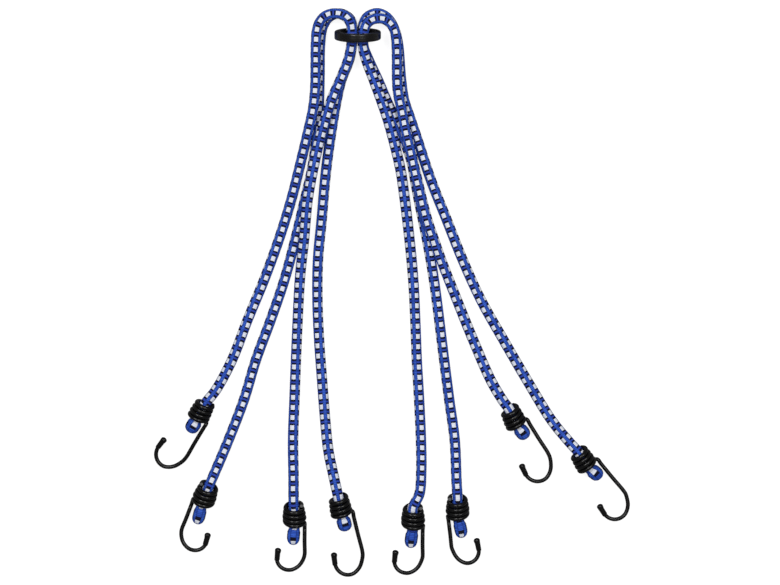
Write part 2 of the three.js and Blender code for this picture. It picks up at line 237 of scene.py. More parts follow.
cord_rows = [
    {"name": "cord_1", "from": "hook_1", "to": "hook_3", "fleck_shift": 0.0, "turn": [
        (0, 10), (0.017, 10), (0.032, 45), (0.06, 43), (0.25, 0), (0.42, 0), (0.54, -14),
        (0.62, -45), (0.7, -55), (0.968, -88), (0.984, 0), (1, 0),
    ], "route": [
        (-0.1377, -0.0686, 0.0092), (-0.1252, -0.0451, 0.0044), (-0.1131, -0.0137, 0.0007),
        (-0.1002, 0.0176, 0), (-0.0887, 0.049, 0), (-0.0789, 0.0804, 0), (-0.071, 0.1117, 0.0006),
        (-0.0652, 0.1352, 0.0058), (-0.0617, 0.1509, 0.0079), (-0.06, 0.1666, 0.0084),
        (-0.0596, 0.1862, 0.0085), (-0.0594, 0.2019, 0.0085), (-0.0584, 0.2134, 0.0087),
        (-0.0553, 0.2205, 0.0095), (-0.0502, 0.2244, 0.0107), (-0.0433, 0.2253, 0.0123),
        (-0.0365, 0.2232, 0.0139), (-0.0323, 0.2178, 0.0152), (-0.0311, 0.2089, 0.0156),
        (-0.0316, 0.2011, 0.0141), (-0.0339, 0.1901, 0.0103), (-0.0401, 0.1744, 0.0086),
        (-0.047, 0.1588, 0.0084), (-0.0521, 0.1431, 0.0084), (-0.0564, 0.1274, 0.0084),
        (-0.0617, 0.1039, 0.0084), (-0.0659, 0.0804, 0.0084), (-0.0675, 0.0647, 0.0076),
        (-0.0688, 0.049, 0.0053), (-0.0707, 0.0333, 0.0013), (-0.0722, 0.0176, 0),
        (-0.0746, -0.0294, 0), (-0.0764, -0.0764, 0.0007), (-0.0774, -0.1078, 0.0044),
        (-0.0769, -0.1352, 0.0098),
    ]},
    {"name": "cord_2", "from": "hook_2", "to": "hook_4", "fleck_shift": 0.3, "turn": [
        (0, 0), (0.08, 8), (0.3, 12), (0.45, 12), (0.55, 0), (0.75, 10), (0.93, 45),
        (0.968, 45), (0.984, -8), (1, -8),
    ], "route": [
        (-0.136, -0.1274, 0.0109), (-0.1279, -0.1078, 0.0066), (-0.116, -0.0764, 0.0014),
        (-0.1066, -0.0451, 0), (-0.095, -0.0137, 0), (-0.0843, 0.0176, 0), (-0.0758, 0.049, 0),
        (-0.0682, 0.0804, 0), (-0.0627, 0.1039, 0), (-0.0592, 0.1274, 0), (-0.0575, 0.1509, 0),
        (-0.0568, 0.176, 0), (-0.0564, 0.2019, 0), (-0.0549, 0.2138, 0), (-0.0521, 0.2201, 0.0008),
        (-0.0484, 0.224, 0.0019), (-0.0425, 0.226, 0.0035), (-0.0366, 0.2246, 0.005),
        (-0.0324, 0.2206, 0.0064), (-0.031, 0.215, 0.0072), (-0.0311, 0.2089, 0.0072),
        (-0.0315, 0.2011, 0.0056), (-0.0335, 0.1901, 0.0017), (-0.0396, 0.1744, 0),
        (-0.0433, 0.1588, 0), (-0.0496, 0.1196, 0), (-0.0524, 0.096, 0), (-0.0551, 0.0647, 0),
        (-0.058, 0.0333, 0), (-0.0584, 0.002, 0), (-0.0571, -0.0294, 0), (-0.0548, -0.0608, 0),
        (-0.0523, -0.0921, 0.0012), (-0.0498, -0.1156, 0.0046), (-0.0457, -0.1352, 0.0088),
    ]},
    {"name": "cord_3", "from": "hook_7", "to": "hook_5", "fleck_shift": 0.55, "turn": [
        (0, 0), (0.017, 0), (0.032, -45), (0.08, -45), (0.35, 0), (0.45, 0), (0.55, -55),
        (0.65, -45), (0.78, -25), (1, 0),
    ], "route": [
        (0.0864, -0.0764, 0.0097), (0.0772, -0.0608, 0.0069), (0.0635, -0.0294, 0.0015),
        (0.0508, 0.002, 0), (0.0384, 0.0333, 0.0031), (0.0328, 0.049, 0.0068), (0.0274, 0.0647, 0.0081),
        (0.0196, 0.096, 0.0085), (0.0141, 0.1196, 0.0085), (0.0104, 0.1352, 0.0085),
        (0.0073, 0.1509, 0.0085), (0.0044, 0.1666, 0.0085), (0.0036, 0.2019, 0.0085),
        (0.0022, 0.212, 0.0089), (-0.0008, 0.2174, 0.0099), (-0.0055, 0.2208, 0.0113),
        (-0.011, 0.2216, 0.0127), (-0.0166, 0.22, 0.0141), (-0.0206, 0.216, 0.0151),
        (-0.0223, 0.2096, 0.0154), (-0.0229, 0.2011, 0.0141), (-0.0204, 0.1901, 0.0103),
        (-0.0145, 0.1744, 0.0086), (-0.0088, 0.1588, 0.0078), (-0.0034, 0.1431, 0.0064),
        (0.001, 0.1274, 0.0032), (0.0066, 0.1039, 0), (0.01, 0.0804, 0), (0.0137, 0.049, 0),
        (0.0166, 0.0176, 0), (0.0182, -0.0137, 0), (0.0194, -0.0451, 0), (0.0212, -0.0764, 0),
        (0.0226, -0.1078, 0.004), (0.0228, -0.1313, 0.0086), (0.0214, -0.149, 0.0119),
    ]},
    {"name": "cord_4", "from": "hook_8", "to": "hook_6", "fleck_shift": 0.8, "turn": [
        (0, 0), (0.017, 0), (0.032, -45), (0.07, -45), (0.2, -30), (0.39, 0), (0.44, 20),
        (0.56, -25), (0.75, -20), (1, 0),
    ], "route": [
        (0.1374, -0.1078, 0.0094), (0.1247, -0.0921, 0.0056), (0.1056, -0.0608, 0.0009),
        (0.0873, -0.0294, 0), (0.0696, 0.002, 0), (0.0553, 0.0333, 0), (0.0428, 0.0647, 0),
        (0.0304, 0.096, 0), (0.0199, 0.1274, 0), (0.0146, 0.1431, 0), (0.0094, 0.1588, 0),
        (0.0071, 0.1744, 0), (0.0046, 0.203, 0), (0.0016, 0.2144, 0.0008), (-0.003, 0.222, 0.0022),
        (-0.0094, 0.2259, 0.0037), (-0.0158, 0.2253, 0.0051), (-0.0206, 0.2215, 0.0064),
        (-0.0226, 0.216, 0.0072), (-0.0225, 0.2089, 0.0072), (-0.0223, 0.2, 0.0052),
        (-0.0184, 0.1901, 0.0015), (-0.0111, 0.1744, 0), (-0.0045, 0.1588, 0), (0.0025, 0.1431, 0),
        (0.0091, 0.1274, 0), (0.0149, 0.1117, 0), (0.018, 0.096, 0), (0.0209, 0.0804, 0),
        (0.0274, 0.049, 0), (0.0328, 0.0176, 0), (0.0408, -0.0451, 0), (0.0448, -0.0764, 0.001),
        (0.049, -0.1078, 0.0052), (0.0502, -0.1376, 0.0113),
    ]},
]
print("cords:", len(cord_rows))

# %% [markdown]
# A braided sheath is laid in short picks of yarn, six to each repeat of the flecks. The tube is
# built with one ring of points on the crest of every pick and one in the groove before it, so
# that the ribs show on the cord's edge as well as on its face. Near the ends the tube swells
# into the knob that keeps the cord from slipping out of its coil, and it closes on a round end.
# The knob is drawn tight, so only one white and one black fleck are left on top of it. A second
# map says where they lie: white from 0 to 1, black from 1 to 2, -10 on the rest of the cord. From
# 1 to 4 the flecks at the knob's sides are black.

# %% Sizes of the braid and the knobs
FLECK_REPEAT = 0.008
PICKS_IN_REPEAT = 6
WIDE_COLUMNS = 4
HALF_PICK = FLECK_REPEAT / PICKS_IN_REPEAT / 2
CORD_SIDES = 48
PICK_RELIEF = 0.0001
COLUMN_RELIEF = 0.0001
FLECK_HALF_WIDTH = 0.3
WHITE_HALF_WIDTH = 0.26
ROUNDED_SHARE = 0.52
ROUND_END_POWER = 2.3
SHOULDER = 0.002
NECK_RADIUS = 0.0043
NECK_FADES_OVER = 0.016
NOT_ON_KNOB = -10
flecks_on_long_knob = [(0, -0.4), (0.0012, 0), (0.0043, 1), (0.0071, 2), (0.0135, 5)]
flecks_on_ball_knob = [(0, 4), (0.005, 2), (0.0078, 1), (0.0135, 0)]


def radius_from_end(distance, hook):
    """The cord's radius at a distance from its end: round end, knob, neck, plain cord."""
    radius, length = hook["knob_radius"], hook["knob_length"]
    rounded = length * ROUNDED_SHARE
    if distance < rounded:
        short = 1 - distance / rounded
        return radius * (1 - short**ROUND_END_POWER) ** (1 / ROUND_END_POWER)
    neck = [(rounded, radius), (length - SHOULDER, radius), (length, NECK_RADIUS),
            (length + NECK_FADES_OVER, CORD_RADIUS)]
    return between_rows(neck, distance)


def column_height(share_round):
    """How far the yarn stands out of the grooves between its columns, from 0 to 1."""
    from_fleck = abs((WIDE_COLUMNS * share_round + 0.5) % 1 - 0.5)
    across_plain = (0.5 - from_fleck) / (1 - 2 * FLECK_HALF_WIDTH)
    from_middle = min(from_fleck / (2 * FLECK_HALF_WIDTH), across_plain)
    return 1 - (2 * from_middle) ** 2


def fleck_on_knob(distance, hook):
    """The place on the second map. The coils that are wound backwards hold the long knobs."""
    rows = flecks_on_long_knob if hook["wind"] < 0 else flecks_on_ball_knob
    return between_rows(rows, distance) if distance < rows[-1][0] else NOT_ON_KNOB


print("one pick is", round(2000 * HALF_PICK, 2), "mm long")

# %% [markdown]
# The centre line starts at the tip of one knob and runs through the middle of its coil, over the
# route and through the second coil to the other tip. Rings of points are set along it: two to each
# pick on the cord, and more closely on the round ends, where the radius changes fast.

# %% Centre line and places of the rings
STEPS_ON_ROUTE = 12
END_STEPS = 12
END_HALF_PICKS = 5


def cord_line(row):
    """The cord's centre line from the tip of one knob to the tip of the other."""
    start, finish = hooks_by_name[row["from"]], hooks_by_name[row["to"]]
    mouth_a, middle_a, end_a, knob_a = cord_in_coil(start)
    mouth_b, middle_b, end_b, knob_b = cord_in_coil(finish)
    route = [Vector((x, y, CORD_REST + lift)) for x, y, lift in row["route"]]
    points = [knob_a, end_a, middle_a, mouth_a, *route, mouth_b, middle_b, end_b, knob_b]
    line = smooth_line(points, STEPS_ON_ROUTE)
    above_floor = [Vector((p.x, p.y, max(p.z, CORD_REST))) for p in line]
    return [knob_tip(start), *above_floor, knob_tip(finish)]


def ring_distances(length):
    """Where along the cord the rings of points go: close together on the rounded ends."""
    near = [END_HALF_PICKS * HALF_PICK * (i / END_STEPS) ** 2 for i in range(END_STEPS)]
    last = math.floor(length / HALF_PICK) - END_HALF_PICKS
    middle = [i * HALF_PICK for i in range(END_HALF_PICKS, last + 1)]
    far = [length - distance for distance in reversed(near)]
    return near[1:] + middle + far[:-1]


def nearer_end(row, distance, length):
    """How far off the nearer end of the cord is, and the hook that holds it."""
    if distance < length / 2:
        return distance, hooks_by_name[row["from"]]
    return length - distance, hooks_by_name[row["to"]]


# %% [markdown]
# A curve with a round section would be the quick way to a tube, but its section can't rise and
# fall from column to column. So the mesh is built by hand: the corners of all the rings, and then
# the faces between them. The first and the last ring are closed with triangles that meet at the
# tips. Every corner of a face gets its place on both maps.


# %% Mesh of a cord
def ring_corners(centre, tangent, radius, turn):
    """One ring of points round the cord, with its columns of yarn standing out."""
    side = tangent.cross(Vector((0, 0, 1))).normalized()
    up = side.cross(tangent)
    corners = []
    for k in range(CORD_SIDES):
        angle = turn + math.tau * k / CORD_SIDES
        out = radius - COLUMN_RELIEF * (1 - column_height(k / CORD_SIDES))
        corner = centre + side * (out * math.sin(angle)) + up * (out * math.cos(angle))
        corners.append(Vector((corner.x, corner.y, max(corner.z, 0))))
    return corners


def cord_corners(row, line, wanted, length):
    """The first tip, the rings of points at the wanted distances, and the last tip."""
    centres = places_along(line, wanted)
    corners = [line[0]]
    for i, distance in enumerate(wanted):
        ahead = centres[min(i + 1, len(centres) - 1)]
        behind = centres[max(i - 1, 0)]
        on_crest = round(distance / HALF_PICK) % 2
        radius = radius_from_end(*nearer_end(row, distance, length)) + PICK_RELIEF * on_crest
        turn = math.radians(between_rows(row["turn"], distance / length))
        corners += ring_corners(centres[i], (ahead - behind).normalized(), radius, turn)
    return [*corners, line[-1]]


def cord_faces(row, stops, length):
    """The faces, and for each of their corners its place along, around and on the knob."""
    marks = [fleck_on_knob(*nearer_end(row, stop, length)) for stop in stops]
    faces, places = [], []
    last = len(stops) - 2
    for i in range(last + 1):
        on_knob = NOT_ON_KNOB not in marks[i : i + 2]
        near = stops[i] / FLECK_REPEAT, marks[i] if on_knob else NOT_ON_KNOB
        far = stops[i + 1] / FLECK_REPEAT, marks[i + 1] if on_knob else NOT_ON_KNOB
        here, there = 1 + (i - 1) * CORD_SIDES, 1 + i * CORD_SIDES
        for k in range(CORD_SIDES):
            right = (k + 1) % CORD_SIDES
            v0, v1 = k / CORD_SIDES, (k + 1) / CORD_SIDES
            middle = (v0 + v1) / 2
            if i == 0:
                faces.append((0, there + k, there + right))
                places += [(near, middle), (far, v0), (far, v1)]
            elif i == last:
                faces.append((here + k, there, here + right))
                places += [(near, v0), (far, middle), (near, v1)]
            else:
                faces.append((here + k, there + k, there + right, here + right))
                places += [(near, v0), (far, v0), (far, v1), (near, v1)]
    return faces, places


def make_cord(row):
    """A cord's mesh with its two maps, its centre line and its length."""
    line = cord_line(row)
    length = distances(line)[-1]
    wanted = ring_distances(length)
    faces, places = cord_faces(row, [0.0, *wanted, length], length)
    mesh = bpy.data.meshes.new(row["name"] + "_sheath")
    mesh.from_pydata(cord_corners(row, line, wanted, length), [], faces)
    shift = row["fleck_shift"]
    braid_places = [value for (u, _), v in places for value in (u + shift, v)]
    mesh.uv_layers.new(name="braid").data.foreach_set("uv", braid_places)
    knob_places = [value for (_, mark), _ in places for value in (mark, 0.0)]
    mesh.uv_layers.new(name="knob").data.foreach_set("uv", knob_places)
    mesh.shade_smooth()
    piece = bpy.data.objects.new(row["name"] + "_sheath", mesh)
    bpy.context.scene.collection.objects.link(piece)
    return piece, line, length


cords = {}
for row in cord_rows:
    piece, line, length = make_cord(row)
    cords[row["name"]] = piece
    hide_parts(row["name"])
    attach(piece, "root")
    print(row["name"], "is", round(length * 1000), "mm long with", len(piece.data.polygons), "faces")

# %% [markdown]
# The hooks are bent from one length of coated wire. The wire is drawn as a curve through the same
# points that its bending would follow: the coil's turns, the bend into the shank, the shank and
# the round bow. The curve gets a round section, whose radius changes along it: the coating is a
# little thicker on the coil, where it runs together between the turns, and the dipped cap on the
# tip is thicker still and ends in a small bulb. The curve is then turned into a mesh.

# %% Hook wires
SHANK_AND_BOW_STEPS = 18
TIP_WIDTH = 0.95
TIP_RISE = 0.0058
CAP_OVERHANG = 0.0006
bow_profile = [(0.05, 0.24), (0.14, 0.56), (0.3, 0.84), (0.53, 1.0), (0.76, 0.92), (0.92, 0.68),
               (1.0, 0.34), (0.99, -0.04)]
cap_profile = [(0, 0.05), (0.00015, 0.55), (0.0004, 0.9), (0.0008, 1.26), (0.0013, 1.48),
               (0.0019, 1.57), (0.0026, 1.54), (0.0034, 1.44), (0.0045, 1.36), (0.0096, 1.3),
               (0.01, 1.15), (0.0104, 1.0)]
THICKER_ON_COIL = 1.07
THINS_OVER = 0.012
STEPS_ON_BEND = 24
STEPS_ON_WIRE = 8
WIRE_STEP = 0.0006
GAP_TO_CAP = 0.0002


def coil_points(row):
    """Points round the coil, from the cut end at its mouth to where the shank leaves it."""
    mouth, along, out, up = coil_frame(row)
    points = []
    count = COIL_TURNS * POINTS_PER_TURN
    for i in range(count + 1):
        share = i / count
        widening = min(share / COIL_WIDEST_AT, 1)
        radius = COIL_MOUTH_RADIUS + (row["wide"] - COIL_MOUTH_RADIUS) * widening
        angle = math.radians(row["leave"]) + row["wind"] * (share - 1) * COIL_TURNS * math.tau
        centre = mouth + along * (share * COIL_LENGTH)
        points.append(centre + out * (radius * math.cos(angle)) + up * (radius * math.sin(angle)))
    return points


def shank_and_bow_points(row):
    """Evenly spaced points down the shank and round the bow, which slope to the floor together."""
    mouth, along = coil_frame(row)[:2]
    start = Vector((*row["shank"], (mouth + along * COIL_LENGTH).z + row["shank_lift"]))
    heading = math.radians(row["bow_heading"])
    onward = Vector((math.cos(heading), math.sin(heading), 0))
    across = Vector((math.sin(heading), -math.cos(heading), 0)) * row["side"]
    bow = Vector((*row["bow"], 0))
    run = (bow - Vector((start.x, start.y, 0))).length
    depth = row["bow_depth"]
    slope = (start.z - WIRE_REST) / (run + depth)
    bow_start = Vector((bow.x, bow.y, WIRE_REST + depth * slope))
    bend = [start, start.lerp(bow_start, 0.5), bow_start]
    profile = [(width * row["bow_width"], share * depth) for width, share in bow_profile]
    for width, ahead in [*profile, (TIP_WIDTH * row["bow_width"], -TIP_RISE)]:
        place = bow + across * width + onward * ahead
        bend.append(Vector((place.x, place.y, WIRE_REST + (depth - ahead) * slope)))
    smooth = smooth_line(bend, STEPS_ON_BEND)
    length = distances(smooth)[-1]
    stops = [length * i / SHANK_AND_BOW_STEPS for i in range(SHANK_AND_BOW_STEPS + 1)]
    return places_along(smooth, stops)


def wire_line(row):
    """The wire's centre line, and how far along it the coil ends."""
    coil = coil_points(row)
    line = smooth_line([*coil, *shank_and_bow_points(row)], STEPS_ON_WIRE)
    tip = line[-1] + (line[-1] - line[-2]).normalized() * CAP_OVERHANG
    return [*line, tip], distances(line)[(len(coil) - 1) * STEPS_ON_WIRE]


def select_only(piece):
    bpy.ops.object.select_all(action="DESELECT")
    piece.select_set(True)
    bpy.context.view_layer.objects.active = piece


def make_hook(row):
    """A hook's mesh, with its centre line and length."""
    line, coil_end = wire_line(row)
    length = distances(line)[-1]
    coil_profile = [(coil_end - THINS_OVER, THICKER_ON_COIL), (coil_end, 1)]
    fine = [length - distance for distance, _ in reversed(cap_profile)]
    coarse = [i * WIRE_STEP for i in range(int((fine[0] - GAP_TO_CAP) / WIRE_STEP) + 1)]
    wanted = [*coarse, *fine]
    places = places_along(line, wanted)
    curve = bpy.data.curves.new(row["name"] + "_wire", "CURVE")
    curve.dimensions = "3D"
    curve.bevel_depth = WIRE_RADIUS
    curve.bevel_resolution = 6
    curve.use_fill_caps = True
    spline = curve.splines.new("POLY")
    spline.points.add(len(places) - 1)
    for point, place, distance in zip(spline.points, places, wanted):
        point.co = (*place, 1)
        at_tip = between_rows(cap_profile, length - distance)
        point.radius = at_tip * between_rows(coil_profile, distance)
    piece = bpy.data.objects.new(row["name"] + "_wire", curve)
    bpy.context.scene.collection.objects.link(piece)
    select_only(piece)
    bpy.ops.object.convert(target="MESH")
    return bpy.context.view_layer.objects.active, line, length


# %% [markdown]
# Where the wire was cut, at the mouth of the coil, its steel core shows inside the black coating.
# The end face is inset by the thickness of the coating and drawn out a little, as a cutter leaves
# it, and these few faces get bare steel.

# %% Cut ends
COATING = 0.00035
CORE_STANDS_OUT = 0.0003
WELD_WITHIN = 1e-7
WIRE_CREASE = math.radians(40)


def open_cut_end(piece, line):
    """Bares the core at the wire's cut end, and gives the numbers of its faces."""
    bpy.ops.object.mode_set(mode="EDIT")
    bpy.ops.mesh.select_mode(type="FACE")
    bpy.ops.mesh.select_all(action="SELECT")
    bpy.ops.mesh.remove_doubles(threshold=WELD_WITHIN)
    bpy.ops.mesh.select_all(action="DESELECT")
    bpy.ops.object.mode_set(mode="OBJECT")
    for face in piece.data.polygons:
        near = (face.center - line[0]).length < WIRE_RADIUS
        face.select = near and len(face.vertices) == 3
    outward = (line[0] - line[1]).normalized() * CORE_STANDS_OUT
    bpy.ops.object.mode_set(mode="EDIT")
    bpy.ops.mesh.inset(thickness=COATING)
    bpy.ops.mesh.extrude_region_move(TRANSFORM_OT_translate={"value": outward})
    bpy.ops.mesh.select_more()
    bpy.ops.object.mode_set(mode="OBJECT")
    return [face.index for face in piece.data.polygons if face.select]


hooks = {}
core_faces = {}
for row in hook_rows:
    piece, line, length = make_hook(row)
    core_faces[row["name"]] = open_cut_end(piece, line)
    bpy.ops.object.shade_smooth_by_angle(angle=WIRE_CREASE)
    hooks[row["name"]] = piece
    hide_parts(row["name"])
    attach(piece, "root")
    print(row["name"], "is", round(length * 1000), "mm of wire, with", len(piece.data.polygons), "faces")

# %% [markdown]
# The ring is a moulded part: a rounded rectangle turned about the ring's axis. The rectangle is
# drawn on one side of the axis, its corners are bevelled, a fine parting line is raised in the
# middle of its outer side, as a mould leaves it, and the outline is spun right round.

# %% Ring
RING_OUTER = 0.01815
RING_INNER = 0.0132
RING_THICKNESS = 0.0066
RING_ROUNDING = 0.0012
RING_TILT = math.radians(12.5)
RING_PLACE = (-0.0268, 0.2084)
RING_EDGE_IN_MODEL = 0.0012
FLOOR_GAP = 0.00005
PARTING_LINE = 0.00006
RING_STEPS = 128
RING_CREASE = math.radians(30)
TINY = 1e-6


def draw_ring_outline():
    """The rounded rectangle, with a fine point of the parting line in its outer side."""
    bpy.ops.object.select_all(action="DESELECT")
    bpy.ops.mesh.primitive_plane_add(size=1, rotation=(math.radians(90), 0, 0))
    piece = bpy.context.view_layer.objects.active
    piece.name = "ring_moulding"
    bpy.ops.object.transform_apply(location=True, rotation=True, scale=True)
    middle = (RING_OUTER + RING_INNER) / 2
    mesh = piece.data
    for corner in mesh.vertices:
        x = middle + (RING_OUTER - RING_INNER) * (0.5 if corner.co.x > 0 else -0.5)
        z = RING_THICKNESS * (0.5 if corner.co.z > 0 else -0.5)
        corner.co = (x, 0, z)
    bpy.ops.object.mode_set(mode="EDIT")
    bpy.ops.mesh.select_mode(type="VERT")
    bpy.ops.mesh.select_all(action="SELECT")
    bpy.ops.mesh.bevel(offset=RING_ROUNDING, segments=5, affect="VERTICES")
    bpy.ops.mesh.delete(type="ONLY_FACE")
    bpy.ops.mesh.select_all(action="DESELECT")
    bpy.ops.object.mode_set(mode="OBJECT")
    for edge in mesh.edges:
        ends = [mesh.vertices[i].co for i in edge.vertices]
        edge.select = all(end.x > RING_OUTER - TINY for end in ends)
    bpy.ops.object.mode_set(mode="EDIT")
    bpy.ops.mesh.select_mode(type="EDGE")
    bpy.ops.mesh.subdivide(number_cuts=15)
    bpy.ops.object.mode_set(mode="OBJECT")
    for corner in mesh.vertices:
        if corner.co.x > RING_OUTER - TINY and abs(corner.co.z) < TINY:
            corner.co.x += PARTING_LINE
    return piece


def make_ring():
    """Spins the outline, then stands the ring on the floor, leaning over the cords."""
    piece = draw_ring_outline()
    bpy.ops.object.mode_set(mode="EDIT")
    bpy.ops.mesh.select_all(action="SELECT")
    bpy.ops.mesh.spin(steps=RING_STEPS, angle=math.tau, center=(0, 0, 0), axis=(0, 0, 1))
    bpy.ops.mesh.select_all(action="SELECT")
    bpy.ops.mesh.remove_doubles(threshold=TINY)
    bpy.ops.mesh.normals_make_consistent(inside=False)
    bpy.ops.object.mode_set(mode="OBJECT")
    drop = (RING_THICKNESS / 2 - RING_EDGE_IN_MODEL) * math.sin(RING_TILT)
    height = RING_OUTER * math.cos(RING_TILT) + drop + FLOOR_GAP
    piece.rotation_euler = (RING_TILT - math.radians(90), 0, 0)
    piece.location = (*RING_PLACE, height)
    bpy.ops.object.transform_apply(location=True, rotation=True, scale=True)
    bpy.ops.object.shade_smooth_by_angle(angle=RING_CREASE)
    return piece


ring = make_ring()
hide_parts("ring")
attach(ring, "root")
print("ring:", len(ring.data.polygons), "faces")

# %% [markdown]
# Materials are networks of nodes. A few short helpers keep them readable. The main ones add a
# node, join two sockets, work out a number, and mix two colours.


# %% Node helpers
def add_node(tree, kind, **values):
    node = tree.nodes.new(kind)
    for name, value in values.items():
        setattr(node, name, value)
    return node


def join(tree, source, target):
    tree.links.new(source, target)


def feed(tree, value, target):
    """Gives a socket either a plain value or what another socket puts out."""
    if isinstance(value, bpy.types.NodeSocket):
        join(tree, value, target)
    else:
        target.default_value = value


def work_out(tree, operation, *values):
    node = add_node(tree, "ShaderNodeMath", operation=operation)
    for value, target in zip(values, node.inputs):
        feed(tree, value, target)
    return node.outputs[0]


def band(tree, value, start, end):
    """A mask that is 1 where a value lies between start and end, and 0 elsewhere."""
    return work_out(tree, "COMPARE", value, (start + end) / 2, (end - start) / 2)


def mix_colours(tree, share, first, second):
    node = add_node(tree, "ShaderNodeMix", data_type="RGBA")
    feed(tree, share, node.inputs[0])
    feed(tree, first, node.inputs[6])
    feed(tree, second, node.inputs[7])
    return node.outputs[2]


def new_group(name, inputs, outputs):
    group = bpy.data.node_groups.new(name, "ShaderNodeTree")
    for label, kind, default in inputs:
        socket = group.interface.new_socket(label, in_out="INPUT", socket_type=kind)
        if default is not None:
            socket.default_value = default
    for label, kind in outputs:
        group.interface.new_socket(label, in_out="OUTPUT", socket_type=kind)
    return group, add_node(group, "NodeGroupInput").outputs, add_node(group, "NodeGroupOutput").inputs


def new_material(name):
    material = bpy.data.materials.new(name)
    material.use_nodes = True
    return material, material.node_tree, material.node_tree.nodes["Principled BSDF"]


# %% [markdown]
# The sheath is read from the cord's own unwrapped map: one unit along it is one repeat of the
# flecks, and one unit across it is once round the cord. Four wide columns of yarn and four
# narrower plain ones go round in turn. The first nodes find the column and the pick that a point
# lies in, and give every pick a shade of its own.

# %% Braid group: columns and picks
FLOAT = "NodeSocketFloat"
PICK_EDGE = 0.49
braid, given, results = new_group(
    "braid_picks",
    [("Along", FLOAT, 0.0), ("Around", FLOAT, 0.0), ("Knob", FLOAT, float(NOT_ON_KNOB)),
     ("Slant", FLOAT, 0.3), ("Threads", FLOAT, 4.0)],
    [("White", FLOAT), ("Black", FLOAT), ("Between", FLOAT), ("Height", FLOAT), ("Groove shade", FLOAT),
     ("Shade", FLOAT)],
)
columns = work_out(braid, "MULTIPLY_ADD", given["Around"], float(WIDE_COLUMNS), 0.5)
from_fleck = work_out(braid, "SUBTRACT", work_out(braid, "FRACT", columns), 0.5)
from_fleck = work_out(braid, "ABSOLUTE", from_fleck)
plain = work_out(braid, "GREATER_THAN", from_fleck, FLECK_HALF_WIDTH)
wide = work_out(braid, "SUBTRACT", 1.0, plain)
column = work_out(braid, "FLOOR", work_out(braid, "MULTIPLY_ADD", plain, 0.5, columns))
column = work_out(braid, "FLOORED_MODULO", column, float(WIDE_COLUMNS))
across_wide = work_out(braid, "DIVIDE", from_fleck, 2 * FLECK_HALF_WIDTH)
across_plain = work_out(braid, "SUBTRACT", 0.5, from_fleck)
across_plain = work_out(braid, "DIVIDE", across_plain, 1 - 2 * FLECK_HALF_WIDTH)
from_middle = work_out(braid, "MINIMUM", across_wide, across_plain)
arched = work_out(braid, "MULTIPLY", from_middle, given["Slant"])
picks = work_out(braid, "MULTIPLY_ADD", given["Along"], float(PICKS_IN_REPEAT), arched)
pick_share = work_out(braid, "FRACT", picks)
inside = work_out(braid, "LESS_THAN", from_middle, PICK_EDGE)
pick_cell = add_node(braid, "ShaderNodeCombineXYZ")
join(braid, work_out(braid, "FLOOR", picks), pick_cell.inputs["X"])
join(braid, work_out(braid, "MULTIPLY_ADD", plain, 0.5, column), pick_cell.inputs["Y"])
pick_shade = add_node(braid, "ShaderNodeTexWhiteNoise", noise_dimensions="2D")
join(braid, pick_cell.outputs[0], pick_shade.inputs["Vector"])
join(braid, pick_shade.outputs["Value"], results["Shade"])
print("columns round the cord:", 2 * WIDE_COLUMNS, "picks in a repeat:", PICKS_IN_REPEAT)

# %% [markdown]
# The wide columns carry the flecks. In one repeat of six picks there are three white ones, then a
# black, a blue and a black one. The white yarn is drawn in more tightly, so its flecks are
# narrower and a little shorter than three whole picks. On the knobs the second map takes over.

# %% Braid group: flecks
WHITE_ENDS, BLUE_STARTS, BLUE_ENDS = 2.75, 4.0, 5.0
in_repeat = work_out(braid, "FLOORED_MODULO", picks, float(PICKS_IN_REPEAT))
is_white = work_out(braid, "LESS_THAN", in_repeat, WHITE_ENDS)
first_black = band(braid, in_repeat, WHITE_ENDS, BLUE_STARTS)
between_blacks = band(braid, in_repeat, BLUE_STARTS, BLUE_ENDS)
second_black = band(braid, in_repeat, BLUE_ENDS, PICKS_IN_REPEAT)
on_cord = work_out(braid, "LESS_THAN", given["Knob"], NOT_ON_KNOB / 2)
on_cord = work_out(braid, "MULTIPLY", on_cord, work_out(braid, "MULTIPLY", wide, inside))
top_column = work_out(braid, "MULTIPLY", band(braid, column, -0.25, 0.25), wide)
on_top = work_out(braid, "MULTIPLY", top_column, inside)
at_side = work_out(braid, "SUBTRACT", wide, top_column)
at_side = work_out(braid, "MULTIPLY", at_side, band(braid, given["Knob"], 1, 4))

white = work_out(braid, "MULTIPLY", on_top, band(braid, given["Knob"], 0, 1))
white = work_out(braid, "MULTIPLY_ADD", on_cord, is_white, white)
narrow = work_out(braid, "LESS_THAN", from_fleck, WHITE_HALF_WIDTH)
join(braid, work_out(braid, "MULTIPLY", white, narrow), results["White"])
black = work_out(braid, "ADD", first_black, second_black)
black = work_out(braid, "MULTIPLY_ADD", on_cord, black, at_side)
black = work_out(braid, "MULTIPLY_ADD", on_top, band(braid, given["Knob"], 1, 2), black)
join(braid, black, results["Black"])
join(braid, work_out(braid, "MULTIPLY", on_cord, between_blacks), results["Between"])
print("white flecks are", WHITE_ENDS, "picks long")
